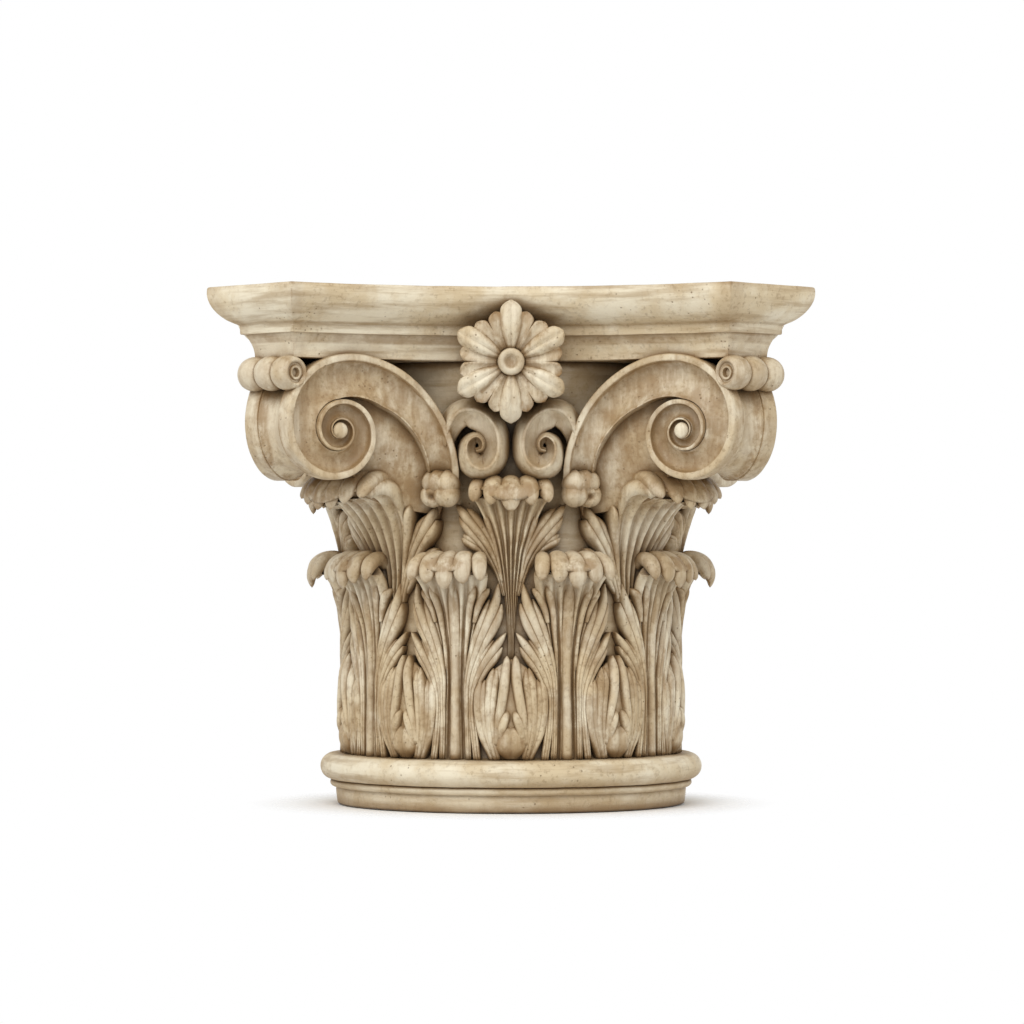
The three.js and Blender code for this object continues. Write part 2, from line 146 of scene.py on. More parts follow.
def ring_tree():
    """Geometry nodes that set copies of a carving round the axis and make the surface uneven as by hand."""
    tree = bpy.data.node_groups.new("carving set round the axis", "GeometryNodeTree")
    face = tree.interface
    face.new_socket("Carving", in_out="INPUT", socket_type="NodeSocketGeometry")
    ids = {}
    for name, kind in [
        ("Copies", "NodeSocketInt"),
        ("First angle", "NodeSocketFloat"),
        ("Spread", "NodeSocketFloat"),
        ("Unevenness", "NodeSocketFloat"),
        ("Seed", "NodeSocketFloat"),
        ("Material", "NodeSocketMaterial"),
    ]:
        ids[name] = face.new_socket(name, in_out="INPUT", socket_type=kind).identifier
    face.new_socket("Carving", in_out="OUTPUT", socket_type="NodeSocketGeometry")
    given = tree.nodes.new("NodeGroupInput").outputs
    index = tree.nodes.new("GeometryNodeInputIndex").outputs[0]
    step = new_node(tree, "ShaderNodeMath", [(0, math.tau), (1, given["Copies"])], operation="DIVIDE")
    even = new_node(
        tree,
        "ShaderNodeMath",
        [(0, index), (1, step.outputs[0]), (2, given["First angle"])],
        operation="MULTIPLY_ADD",
    )
    twice = new_node(tree, "ShaderNodeMath", [(0, even.outputs[0]), (1, 2.0)], operation="MULTIPLY")
    wave = new_node(tree, "ShaderNodeMath", [(0, twice.outputs[0])], operation="SINE")
    angle = new_node(
        tree,
        "ShaderNodeMath",
        [(0, wave.outputs[0]), (1, given["Spread"]), (2, even.outputs[0])],
        operation="MULTIPLY_ADD",
    )
    euler = new_node(tree, "ShaderNodeCombineXYZ", [("Z", angle.outputs[0])])
    turn = new_node(tree, "FunctionNodeEulerToRotation", [(0, euler.outputs[0])])
    points = new_node(tree, "GeometryNodePoints", [("Count", given["Copies"])])
    copies = new_node(
        tree,
        "GeometryNodeInstanceOnPoints",
        [
            ("Points", points.outputs[0]),
            ("Instance", given["Carving"]),
            ("Rotation", turn.outputs[0]),
        ],
    )
    real = new_node(tree, "GeometryNodeRealizeInstances", [("Geometry", copies.outputs[0])])
    noise = new_node(
        tree,
        "ShaderNodeTexNoise",
        [("W", given["Seed"]), ("Scale", 42.0), ("Detail", 4.0), ("Roughness", 0.55)],
        noise_dimensions="4D",
    )
    centred = new_node(
        tree,
        "ShaderNodeVectorMath",
        [(0, noise.outputs["Color"]), (1, (0.5, 0.5, 0.5))],
        operation="SUBTRACT",
    )
    shift = new_node(tree, "ShaderNodeVectorMath", [(0, centred.outputs[0])], operation="SCALE")
    tree.links.new(given["Unevenness"], shift.inputs["Scale"])
    uneven = new_node(
        tree, "GeometryNodeSetPosition", [("Geometry", real.outputs[0]), ("Offset", shift.outputs[0])]
    )
    finish = new_node(
        tree, "GeometryNodeSetMaterial", [("Geometry", uneven.outputs[0]), ("Material", given["Material"])]
    )
    new_node(tree, "NodeGroupOutput", [(0, finish.outputs[0])])
    return tree, ids


RING, RING_IDS = ring_tree()


def set_round(piece, material, copies=1, first=0.0, spread=0.0, uneven=0.9, seed=0.0):
    """Repeats a carving round the axis, makes the result a plain mesh and gives it its place in the frame."""
    ring = piece.modifiers.new("set round", "NODES")
    ring.node_group = RING
    values = {
        "Copies": copies,
        "First angle": first,
        "Spread": spread,
        "Unevenness": uneven * MM,
        "Seed": seed,
        "Material": material,
    }
    for name, value in values.items():
        ring[RING_IDS[name]] = value
    evaluated = piece.evaluated_get(bpy.context.evaluated_depsgraph_get())
    mesh = bpy.data.meshes.new_from_object(evaluated)
    piece.modifiers.remove(ring)
    piece.data = mesh
    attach(piece, "root")
    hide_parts("capital")


def antiqued_plaster(name, stroke, stroke_strength):
    """Cream plaster under a brown wash that stays in the hollows and on the worn edges, with painted shade
    added in the recesses and hollows.
    stroke stretches the brush marks: the largest number is the direction across them."""
    material = bpy.data.materials.new(name)
    material.use_nodes = True
    tree = material.node_tree
    shader = tree.nodes["Principled BSDF"]
    place = tree.nodes.new("ShaderNodeTexCoord").outputs["Object"]

    def noise(scale, detail=4.0, rough=0.6, vector=place):
        made = new_node(
            tree,
            "ShaderNodeTexNoise",
            [("Vector", vector), ("Scale", scale), ("Detail", detail), ("Roughness", rough)],
        )
        return made.outputs["Fac"]

    def ramp(value, low, high, to_low=0.0, to_high=1.0):
        made = new_node(
            tree,
            "ShaderNodeMapRange",
            [(0, value), (1, low), (2, high), (3, to_low), (4, to_high)],
            interpolation_type="SMOOTHSTEP",
        )
        return made.outputs[0]

    def math_of(operation, a, b):
        return new_node(tree, "ShaderNodeMath", [(0, a), (1, b)], operation=operation).outputs[0]

    def mix(factor, a, b):
        made = new_node(tree, "ShaderNodeMix", [(0, factor), (6, a), (7, b)], data_type="RGBA")
        return made.outputs[2]

    pale = (0.88, 0.79, 0.60, 1)
    cream = (0.70, 0.565, 0.36, 1)
    tan = (0.42, 0.295, 0.155, 1)
    gold = (0.30, 0.17, 0.06, 1)
    brown = (0.23, 0.135, 0.055, 1)
    umber = (0.055, 0.034, 0.016, 1)

    strokes_at = new_node(tree, "ShaderNodeMapping", [("Vector", place), ("Scale", stroke)]).outputs[0]
    strokes = noise(1.0, 5.0, 0.62, strokes_at)
    blotches = noise(20.0, 6.0, 0.62)
    round_dabs = noise(75.0, 5.0, 0.66)
    long_dabs = noise(0.8, 5.0, 0.66, strokes_at)
    dabs = math_of("MULTIPLY", math_of("ADD", round_dabs, long_dabs), 0.5)
    specks = noise(300.0, 3.0, 0.7)

    def open_air(distance, inside=False):
        made = new_node(
            tree,
            "ShaderNodeAmbientOcclusion",
            [("Distance", distance)],
            samples=8,
            inside=inside,
            only_local=False,
        )
        return made.outputs["AO"]

    # The stain attribute: brown wash on rims, curls, buds and tips, and in the volutes' sunk ground also
    # painted shade of the deep recess. It is mixed towards gold below.
    stained = new_node(tree, "ShaderNodeAttribute", attribute_name="stain").outputs["Fac"]

    colour = mix(ramp(blotches, 0.40, 0.62), pale, cream)
    colour = mix(math_of("MULTIPLY", ramp(strokes, 0.46, 0.68), stroke_strength), colour, tan)
    # Painted shade: where other surfaces lie within 5 cm, the colour is mixed towards tan, darkening the
    # recesses where shade falls.
    painted_recess_shade = math_of("MULTIPLY", ramp(open_air(0.05), 0.85, 0.3), ramp(blotches, 0.25, 0.65, 0.45, 1.0))
    colour = mix(math_of("MULTIPLY", painted_recess_shade, 0.8), colour, tan)
    wash = math_of("MULTIPLY", stained, ramp(dabs, 0.36, 0.60, 0.25, 1.0))
    colour = mix(math_of("MULTIPLY", wash, 0.8), colour, gold)
    worn = math_of("MULTIPLY", ramp(open_air(0.0035, True), 0.80, 0.45), ramp(dabs, 0.40, 0.58))
    colour = mix(math_of("MULTIPLY", worn, 0.62), colour, gold)
    # Brown, and umber deepest in, where other surfaces lie within 12 mm: the wash settled in the hollows, and
    # painted shade darkening them as well.
    hollow = open_air(0.012)
    settled_wash_and_shade = math_of("MULTIPLY", ramp(hollow, 0.90, 0.42), ramp(dabs, 0.25, 0.6, 0.55, 1.0))
    colour = mix(math_of("MULTIPLY", settled_wash_and_shade, 0.9), colour, brown)
    colour = mix(math_of("MULTIPLY", ramp(hollow, 0.42, 0.10), 0.85), colour, umber)
    pits = new_node(
        tree, "ShaderNodeTexVoronoi", [("Vector", place), ("Scale", 230.0), ("Randomness", 1.0)]
    ).outputs["Distance"]
    pitted = math_of("MULTIPLY", ramp(pits, 0.17, 0.08), ramp(noise(30.0), 0.53, 0.6))
    colour = mix(math_of("MULTIPLY", pitted, 0.7), colour, brown)
    fine = math_of("MULTIPLY", ramp(specks, 0.52, 0.68), ramp(blotches, 0.35, 0.6))
    colour = mix(math_of("MULTIPLY", fine, 0.35), colour, brown)
    tree.links.new(colour, shader.inputs["Base Color"])

    rough = ramp(blotches, 0.3, 0.7, 0.42, 0.62)
    tree.links.new(rough, shader.inputs["Roughness"])
    shader.inputs["Specular IOR Level"].default_value = 0.45

    relief = math_of("MULTIPLY_ADD", strokes, 0.6)
    tree.links.new(math_of("MULTIPLY", specks, 0.5), relief.node.inputs[2])
    relief = math_of("SUBTRACT", relief, math_of("MULTIPLY", pitted, 1.2))
    bump = new_node(tree, "ShaderNodeBump", [("Strength", 0.6), ("Distance", 0.001), ("Height", relief)])
    tree.links.new(bump.outputs[0], shader.inputs["Normal"])
    return material


LEVEL_STROKES = (14.0, 14.0, 170.0)
UPRIGHT_STROKES = (150.0, 150.0, 22.0)
moulded_plaster = antiqued_plaster("antiqued plaster, level strokes", LEVEL_STROKES, 0.65)
carved_plaster = antiqued_plaster("antiqued plaster, upright strokes", UPRIGHT_STROKES, 0.5)


def turned_profile():
    bead_angles = np.radians(np.linspace(-70, 75, 9))
    bead = np.stack(
        [
            BEAD_MIDDLE[0] + BEAD_RADIUS * np.cos(bead_angles),
            BEAD_MIDDLE[1] + BEAD_RADIUS * np.sin(bead_angles),
        ],
        axis=-1,
    )
    torus_angles = np.radians(np.linspace(-84, 88, 25))
    torus = np.stack(
        [
            TORUS_MIDDLE[0] + TORUS_REACH * np.cos(torus_angles),
            TORUS_MIDDLE[1] + TORUS_HALF_HEIGHT * np.sin(torus_angles),
        ],
        axis=-1,
    )
    heights = np.linspace(38, 303, 44)
    bell = np.stack([bell_radius(heights), heights], axis=-1)
    top = [(60.0, 303.5)]
    return np.concatenate([FOOT[1:], bead, torus, [(116, 35.9), (113, 36.4)], bell, top])


profile = turned_profile()
turns = np.linspace(0, math.tau, TURNED_STEPS, endpoint=False)
rings = around(profile[:, None, 0], turns[None, :], profile[:, None, 1])
base_and_bell = carve("base_and_bell", [skin(rings)])
set_round(base_and_bell, moulded_plaster, uneven=1.0, seed=3.0)

# Abacus
# The square slab on top, with hollow sides, cut corners and an ovolo, fillet and cavetto under its edge.
# It is run in plaster with the rest of the casting and carries the beam above.
ABACUS_HALF = 202.0
ABACUS_ARRIS = 142.5
ABACUS_HOLLOW = 48.0
SIDE_STEPS = 60
CUT_STEPS = 10
OVOLO = [(0.2, 349.6), (0.0, 346.5), (0.5, 343.5), (2.0, 340), (6.0, 334.6), (12.8, 329.4), (20.6, 326.0)]
CAVETTO = [(26.2, 319.2), (27.2, 317.6), (29.4, 314), (31, 310.5), (31.9, 306.5), (32.0, 303.6)]
TOP_EDGE = [(1.6, 351.0), (0.7, 350.6)]
FILLET = [(21.6, 325.6), (22.0, 325.2), (22.2, 320.4), (22.6, 319.6)]
FOOT_EDGE = [(32.9, 303.0)]
WORN_LEVELS = (0.55, 0.45, 0.3)


def abacus_outline(inset, z):
    reach = ABACUS_HALF - inset
    arc = (ABACUS_ARRIS**2 + ABACUS_HOLLOW**2) / (2 * ABACUS_HOLLOW)
    x = np.linspace(-ABACUS_ARRIS, ABACUS_ARRIS, SIDE_STEPS)
    y = -(reach - ABACUS_HOLLOW + arc - np.sqrt(arc**2 - x**2))
    cut = np.linspace(0, 1, CUT_STEPS + 1)[1:-1, None]
    start, end = np.array([ABACUS_ARRIS, -reach]), np.array([reach, -ABACUS_ARRIS])
    side = np.concatenate([np.stack([x, y], axis=-1), start + cut * (end - start)])
    sides = []
    for _ in range(4):
        sides.append(side)
        side = np.stack([-side[:, 1], side[:, 0]], axis=-1)
    plan = np.concatenate(sides)
    return np.column_stack([plan, np.full(len(plan), z)])


ovolo, cavetto = smooth_rows(OVOLO, 22).tolist(), smooth_rows(CAVETTO, 12).tolist()
levels = TOP_EDGE + ovolo + FILLET + cavetto + FOOT_EDGE
rings = np.stack([abacus_outline(inset, z) for inset, z in levels])
along_side = np.arange(rings.shape[1]) % (SIDE_STEPS + CUT_STEPS - 1)
by_arris = np.minimum(along_side, np.abs(along_side - SIDE_STEPS + 1)) < 2
stain = np.zeros(rings.shape[:2])
stain[:3] = np.array(WORN_LEVELS)[:, None]
stain[22:25] = 0.5
stain[28:33] = 0.8
stain = np.minimum(stain + 0.4 * by_arris[None, :], 0.8)
abacus = carve("abacus", [skin(rings, stain)], sharp=30)
set_round(abacus, moulded_plaster, uneven=0.9, seed=8.0)

# Lower row of tall leaves
# Each acanthus leaf climbs the bell as a bundle of stalks and hangs over in a lip of round fingers.
# Its leaflets branch off on either hand. All is cast with the bell, and the wash is left in it.
LEAVES_ROUND = 10
LEAF_SPREAD = math.radians(1.2)
BLADE_REFERENCE = 118.0


def on_bell(across, z, lift):
    return around(bell_radius(z) + lift, across / BLADE_REFERENCE, z)


def rounded(v):
    return np.sqrt(np.clip(1 - v**2, 0, 1))


def creased(v):
    """A finger's section: round, with a fine groove down its middle."""
    return rounded(v) - 0.3 * np.exp(-((v / 0.2) ** 2))


def part_way(fine, share, steps):
    """The first share of a finely drawn path, in equal steps."""
    at = np.linspace(0, share * (len(fine) - 1), steps)
    return np.stack([np.interp(at, np.arange(len(fine)), column) for column in fine.T], axis=-1)


def blade(place, rows, lane=0.0, width=1.0, shorter=0.0, section=rounded, edge=0.4, sink=-4.0,
          steps=26, across=11, stain=(0.0, 0.4)):
    """One raised finger along rows of (across, up, half width, lift), undercut on both sides.
    lane sets it beside the middle, edge is the share of the lift its sides keep, sink where its back lies."""
    path = part_way(smooth_rows(rows, 160), 1 - shorter * abs(lane), steps)
    way = np.gradient(path[:, :2], axis=0)
    way /= np.linalg.norm(way, axis=1)[:, None]
    over = np.stack([way[:, 1], -way[:, 0]], axis=-1)
    half = np.maximum(path[:, 2], 0.6)
    middle = path[:, :2] + lane * (1 - width) * half[:, None] * over
    t = np.linspace(0, 1, steps)
    tip = ((t - 0.82) / 0.18).clip(0, 1)
    half = half * width * np.sqrt(np.clip(1 - tip**2, 0.02, 1))
    crown = path[:, 3] * (1 - 0.1 * abs(lane)) * (1 - 0.3 * tip**2)
    v = np.sin(np.linspace(-1, 1, across) * math.pi / 2)
    back = np.array([0.6, 0.0, -0.6])
    spread = np.concatenate([v, back])
    flat = middle[:, None, :] + spread[None, :, None] * (half[:, None] * over)[:, None, :]
    drop = np.minimum(crown * (1 - edge), half * 1.5)
    height = crown[:, None] - drop[:, None] * (1 - section(v)[None, :])
    lift = np.concatenate([height, np.full((steps, len(back)), sink)], axis=1)
    rings = place(flat[..., 0], flat[..., 1], lift)
    tone = stain[0] + (stain[1] - stain[0]) * t[:, None] ** 2
    return skin(rings, np.broadcast_to(tone, rings.shape[:2]))


def leaflet(place, rows, fingers=3, shorter=0.1, **options):
    """A leaflet of several fingers that share a stalk and end one behind the other."""
    width = 1.38 / fingers
    lanes = np.linspace(-1, 1, fingers)
    return [blade(place, rows, lane, width, shorter, **options) for lane in lanes]


def leaf_sheet(rows, flutes, tip_cut, curl_from, depth=3.0, steps=64, across=49, stain=0.5):
    """A leaf's middle from rows of (radius, height, half width, thickness), with flutes fanning up its face.
    tip_cut is how much shorter the sheet is at its edges, and curl_from the share where it bends over."""
    fine = smooth_rows(rows, 400)
    lengths = np.concatenate([[0], np.cumsum(np.linalg.norm(np.diff(fine[:, :2], axis=0), axis=1))])
    shares = lengths / lengths[-1]
    way = np.gradient(fine[:, :2], axis=0)
    way /= np.linalg.norm(way, axis=1)[:, None]
    v = np.linspace(-1, 1, across)
    t = np.linspace(0, 1, steps)
    s = t[:, None] * (1 - tip_cut * v**2)[None, :]
    radius, height, half, thick = (np.interp(s, shares, column) for column in fine.T)
    out_r, out_z = np.interp(s, shares, way[:, 1]), np.interp(s, shares, -way[:, 0])
    curl = np.clip((s - curl_from) / (1 - curl_from), 0, 1)
    ridge = (0.5 + 0.5 * np.cos(flutes * math.pi * v))[None, :] ** 0.8
    side = np.abs(v)[None, :] ** 6
    droop = 5.0 * curl * v[None, :] ** 2
    slim = np.minimum(1, half / 10)
    front = ridge * depth * slim * (1 - 0.4 * curl) - 3.0 * side * (1 - curl) + droop
    rear = thick * (1 - 0.5 * side) - droop
    front_ring = around(radius + out_r * front, v * half / radius, height + out_z * front)
    rear_ring = around(radius - out_r * rear, v * half / radius, height - out_z * rear)
    rings = np.concatenate([front_ring, rear_ring[:, ::-1]], axis=1)
    groove = (1 - ridge) * 0.7 * (1 - curl)
    tone = np.concatenate([groove + 0.2 * curl, curl[:, ::-1]], axis=1) * stain
    return skin(rings, tone)


def rolled_lip(rows, fingers, steps=26, sides=18, stain=(0.25, 0.8)):
    """A leaf's lip: round fingers that bend over and hang, along rows of (radius, height, half depth).
    Each finger is (across, half width, share of the path, extra fall)."""
    fine = smooth_rows(rows, 200)
    turn = np.linspace(0, math.tau, sides, endpoint=False)
    s = np.linspace(0, 1, steps)
    shapes = []
    for across, half, share, fall in fingers:
        path = part_way(fine, share, steps)
        way = np.gradient(path[:, :2], axis=0)
        way /= np.linalg.norm(way, axis=1)[:, None]
        tip = np.clip(1 - ((s - 0.55) / 0.45).clip(0, 1) ** 2.0, 0.004, 1) ** 0.6
        rise = (path[:, 2] * tip)[:, None] * np.sin(turn)[None, :]
        flat = np.sign(np.cos(turn)) * np.abs(np.cos(turn)) ** 0.92
        wide = (half * tip * (0.66 + 0.34 * s))[:, None] * flat[None, :]
        radius = path[:, 0, None] - way[:, 1, None] * rise
        height = path[:, 1, None] + way[:, 0, None] * rise - fall * s[:, None] ** 1.5
        middle = across * (0.68 + 0.32 * s)[:, None]
        rings = around(radius, (middle + wide) / path[:, 0, None], height)
        groove = np.abs(np.cos(turn))[None, :] ** 3
        tone = stain[0] + (stain[1] - stain[0]) * s[:, None] ** 2
        shapes.append(skin(rings, np.maximum(tone, 0.7 * groove)))
    return shapes


TALL_SHEET = [
    (113.5, 35, 13, 8),
    (113.5, 60, 11.5, 8),
    (113.5, 95, 10.5, 8),
    (114.5, 115, 12.5, 8),
    (117.0, 132, 17, 8),
    (121.0, 147, 22, 8),
    (126.0, 158, 25.5, 8),
    (131.0, 163.5, 26.5, 7),
    (135.5, 163.5, 26, 6),
    (138.0, 159.5, 24.5, 5),
]
TALL_LIP = [
    (117, 167, 5.0),
    (123.5, 171.2, 5.2),
    (130.5, 170.6, 5.2),
    (136.2, 166.8, 5.0),
    (139.3, 160.5, 4.6),
    (139.2, 152.5, 4.0),
]
TALL_FINGERS = [
    (-25.0, 6.6, 0.76, 5.0),
    (-13.0, 8.0, 0.92, 1.0),
    (0.0, 8.4, 1.0, 2.0),
    (13.0, 8.0, 0.94, 0.8),
    (25.0, 6.6, 0.78, 4.5),
]
TALL_STALK = [
    (0, 35.5, 4.4, 7.5),
    (0, 70, 4.0, 8.0),
    (0, 105, 4.2, 8.6),
    (0, 128, 5.2, 11.0),
    (0, 145, 6.6, 15.0),
    (0, 157, 8.2, 20.5),
]
TALL_SIDE_RIB = [(7.2, 96, 1.2, 5.5), (8.4, 120, 1.8, 8.5), (11.5, 140, 2.6, 13.5), (15.5, 155, 3.2, 19.5)]
TALL_LOWER_LEAFLET = [
    (15.5, 35.5, 2.6, 7.0),
    (13.0, 58, 2.8, 8.0),
    (12.5, 78, 3.4, 8.5),
    (17.5, 95, 5.4, 9.0),
    (25.5, 108.5, 7.2, 9.0),
    (35.0, 121.0, 6.4, 7.5),
]
TALL_UPPER_LEAFLET = [
    (9.5, 36, 2.2, 6.5),
    (9.0, 70, 2.2, 8.0),
    (10.0, 92, 3.2, 8.8),
    (16.5, 113, 6.2, 10.0),
    (24.0, 131, 8.6, 10.5),
    (28.5, 144, 8.2, 11.0),
    (30.0, 154.0, 6.6, 10.0),
]
TALL_HOOK = [(13.5, 128, 1.6, 9.5), (16.5, 139, 2.6, 12.0), (20.5, 147, 3.0, 13.5), (24, 150.5, 2.4, 12.5)]

tall_sheet = leaf_sheet(TALL_SHEET, flutes=7, tip_cut=0.1, curl_from=0.78)
tall_stalk = blade(on_bell, TALL_STALK, edge=0.3, across=15, stain=(0.5, 0.0))
tall_lip = rolled_lip(TALL_LIP, TALL_FINGERS)
tall_ribs = both_hands([blade(on_bell, TALL_SIDE_RIB)])
tall_middles = carve("tall_leaves", [tall_sheet, tall_stalk] + tall_lip + tall_ribs)
tall_leaflets = both_hands(
    leaflet(on_bell, TALL_LOWER_LEAFLET)
    + leaflet(on_bell, TALL_UPPER_LEAFLET)
    + [blade(on_bell, TALL_HOOK, stain=(0.1, 0.7))]
)
tall_sides = carve("tall_leaflets", tall_leaflets)
for piece in (tall_middles, tall_sides):
    set_round(
        piece,
        carved_plaster,
        copies=LEAVES_ROUND,
        first=math.pi / LEAVES_ROUND,
        spread=LEAF_SPREAD,
        uneven=1.7,
        seed=1.0,
    )

# Short leaves
# A closed leaf stands in each niche between two tall ones: pairs of ribbed blades bent round a bud.
# It is cast in the same plaster and is the cleanest part of the lower row.
SHORT_BACK = [(0, 36, 12, 4), (0, 50, 19, 7.5), (0, 75, 20.5, 9), (0, 92, 16, 9), (0, 103, 9, 7.5)]
SHORT_OUTER = [
    (12, 36, 3, 6),
    (18.4, 55, 4.8, 10),
    (20.4, 72, 5.2, 11.5),
    (19.6, 86, 4.9, 11),
    (18.0, 96, 3.8, 9.5),
]
SHORT_MIDDLE = [
    (9.5, 36, 3, 7),
    (13.2, 56, 4.4, 11),
    (13.2, 75, 5.2, 12.4),
    (11.4, 91, 5.0, 12),
    (9.8, 102.5, 3.9, 10),
]
SHORT_INNER = [
    (9.5, 46, 2.4, 9),
    (8.2, 62, 3.2, 12),
    (5.6, 76, 3.6, 13.2),
    (3.6, 90, 3.8, 13),
    (2.8, 105.5, 3.2, 10.5),
]
SHORT_LOBE = [(7.4, 47, 2.2, 9), (6.4, 56, 3.4, 12.5), (3.6, 65, 3.4, 12.5), (2.0, 70, 2.2, 10.5)]
SHORT_BUD = [(0, 36, 5, 6), (0, 42, 10, 10.5), (0, 49, 11, 12.2), (0, 55, 8, 11.5), (0, 60, 3.6, 9)]

short_pairs = (
    leaflet(on_bell, SHORT_OUTER, fingers=2, shorter=0.1, stain=(0.1, 0.3))
    + leaflet(on_bell, SHORT_MIDDLE, fingers=2, shorter=0.08, stain=(0.1, 0.4))
    + [blade(on_bell, SHORT_INNER, stain=(0.0, 0.8))]
    + [blade(on_bell, SHORT_LOBE, stain=(0.0, 0.0))]
)
short_middle = [
    blade(on_bell, SHORT_BACK, edge=0.7, across=17, stain=(0.6, 0.6)),
    blade(on_bell, SHORT_BUD, section=creased, across=19, stain=(0.9, 0.1)),
]
short_leaves = carve("short_leaves", both_hands(short_pairs) + short_middle)
set_round(short_leaves, carved_plaster, copies=LEAVES_ROUND, spread=LEAF_SPREAD, uneven=1.7, seed=2.0)

# Upper leaves under the rosettes
# A fluted leaf rises on a thin stem in the middle of each side and hangs over below the small scrolls.
# It is cast with the bell, with a leaflet of two lobes on either hand.
SIDES = 4
MIDDLE_SHEET = [
    (112.5, 99, 2.4, 6),
    (113.0, 125, 3.0, 6),
    (113.6, 145, 4.6, 6),
    (115.0, 162, 7.2, 7),
    (117.5, 178, 10.5, 8),
    (121.0, 191, 15.0, 8),
    (125.0, 203, 20.5, 8),
    (129.0, 211.5, 24.5, 8),
    (133.0, 214.5, 26, 7),
    (136.0, 212.5, 25, 6),
    (137.0, 208.5, 23, 5),
]
MIDDLE_LIP = [
    (115, 213, 5.4),
    (121.0, 219.6, 5.8),
    (128.0, 221.4, 5.8),
    (134.2, 218.4, 5.4),
    (138.0, 212.0, 5.0),
    (138.4, 203.5, 4.4),
]
MIDDLE_FINGERS = [
    (-25.5, 6.6, 0.72, 5.5),
    (-13.6, 8.0, 0.88, 1.5),
    (0.0, 8.8, 1.0, 1.5),
    (13.6, 8.0, 0.90, 1.3),
    (25.5, 6.6, 0.74, 5.0),
]
MIDDLE_LEAFLET = [
    (4.5, 146, 1.8, 5),
    (8.5, 162, 3.2, 7.5),
    (15, 178, 5.8, 11),
    (24.5, 192, 7.8, 13.5),
    (33, 202, 6.6, 14),
    (37.5, 207, 4, 12.5),
]
MIDDLE_LOBE = [(10, 163, 2.2, 6), (18.5, 176, 4.4, 10), (28, 182.5, 5.4, 11.5), (37.5, 187.5, 3.6, 10.5)]
MIDDLE_FINGER = [(6.5, 155, 1.8, 6.5), (10.5, 180, 2.2, 10.5), (15, 195, 2.6, 14.5), (18, 204, 2.0, 16)]

middle_pairs = (
    leaflet(on_bell, MIDDLE_LEAFLET, stain=(0.0, 0.9))
    + leaflet(on_bell, MIDDLE_LOBE, fingers=2, stain=(0.1, 0.8))
    + [blade(on_bell, MIDDLE_FINGER)]
)
middle_sheet = leaf_sheet(MIDDLE_SHEET, flutes=6, tip_cut=0.08, curl_from=0.84, depth=3.4)
middle_leaves = carve(
    "upper_leaves_under_rosettes",
    [middle_sheet] + rolled_lip(MIDDLE_LIP, MIDDLE_FINGERS) + both_hands(middle_pairs),
)
set_round(middle_leaves, carved_plaster, copies=SIDES, uneven=1.6, seed=4.0)

# Upper leaves under the corners
# A broader leaf leans out at each corner and hangs over just below the volutes, which it seems to carry.
# It is cast with the bell, and its flutes and lip follow those of the other leaves.
CORNER_SHEET = [
    (112.0, 130, 6, 8),
    (113.5, 150, 10, 8),
    (117.5, 170, 15.5, 9),
    (125.0, 188, 22, 15),
    (135.0, 203, 28, 20),
    (147.0, 213, 31.5, 16),
    (158.0, 216.5, 32, 11),
    (167.0, 215, 31, 7.5),
    (173.0, 210.5, 28, 6),
    (175.0, 206.0, 25, 5),
]
CORNER_LIP = [
    (136, 221, 5.0),
    (146, 224.5, 5.6),
    (157, 224.0, 6.0),
    (167, 220, 6.0),
    (174.5, 213, 5.6),
    (177, 203.5, 5.0),
]
CORNER_FINGERS = [
    (-29, 7.6, 0.78, 3.0),
    (-18.0, 9.0, 0.92, 0.5),
    (-6.2, 9.0, 1.0, 0.0),
    (6.2, 9.0, 1.0, 0.0),
    (18.0, 9.0, 0.92, 0.5),
    (29, 7.6, 0.78, 3.0),
]
CORNER_LEAFLET = [
    (8, 140, 2.4, 5.5),
    (15, 160, 4.4, 9),
    (25, 178, 7.0, 13),
    (35, 193, 8.0, 17),
    (41, 205, 5.5, 18),
]
CORNER_LOBE = [(12, 148, 2.2, 5.5), (24, 163, 4.6, 9), (35, 172, 5.6, 11), (44, 179, 3.6, 10)]
CORNER_FINGER = [(11, 152, 2, 7), (18, 178, 2.6, 14), (24, 196, 3.2, 22), (27, 208, 2.4, 27)]

corner_pairs = (
    leaflet(on_bell, CORNER_LEAFLET, stain=(0.0, 0.7))
    + leaflet(on_bell, CORNER_LOBE, fingers=2, stain=(0.1, 0.7))
    + [blade(on_bell, CORNER_FINGER)]
)
corner_sheet = leaf_sheet(CORNER_SHEET, flutes=6, tip_cut=0.1, curl_from=0.72, depth=3.6)
corner_leaves = carve(
    "upper_leaves_under_corners",
    [corner_sheet] + rolled_lip(CORNER_LIP, CORNER_FINGERS, steps=32) + both_hands(corner_pairs),
)
set_round(corner_leaves, carved_plaster, copies=SIDES, first=math.pi / 4, uneven=1.6, seed=5.0)

# Volutes
# A pair of broad spiral scrolls meets at each corner under the abacus, with rims, channels and button eyes.
# Their stems rise from the buds, and the edge between a pair is a hollow band. All of it is cast plaster.
ARC_RADIUS = 255.0
ARC_NEAREST = 125.0
EYE_ALONG = 118.5
EYE_HEIGHT = 255.5
SPIRAL_TOP = 50.5
SPIRAL_GROWTH = 0.225
STEM_GROWTH = 0.2
STEM_WIDTH = 30.0
STEM_FOOT_WIDTH = 21.0
SPIRAL_FIRST = -10.0
SPIRAL_LAST = 1.26
STEM_SINKS_FROM = 1.08
STEM_SINKS_BY = 12.0
CORE_FIRST = -2.35
CORE_LAST = 1.16
CORE_PROUD = -6.5
SUNK_INSET = 8.0
SUNK_PROUD = -13.0
CORE_FOOT_PROUD = -26.0
CORE_FOOT = [(44.0, 200.0), (72.0, 205.0), (98.0, 214.0)]
# Stain of the sunk ground: brown wash, and painted shade of the deep recess behind the leaf.
SUNK_WASH_AND_SHADE = 1.0
EDGE_TONE = 0.5
EYE_RADIUS = 5.4
RIM_SHARE = 0.825
RIM_WIDTH = 5.4
RIM_MOST = 0.27
SPIRAL_STEPS = 290
TURN = 4
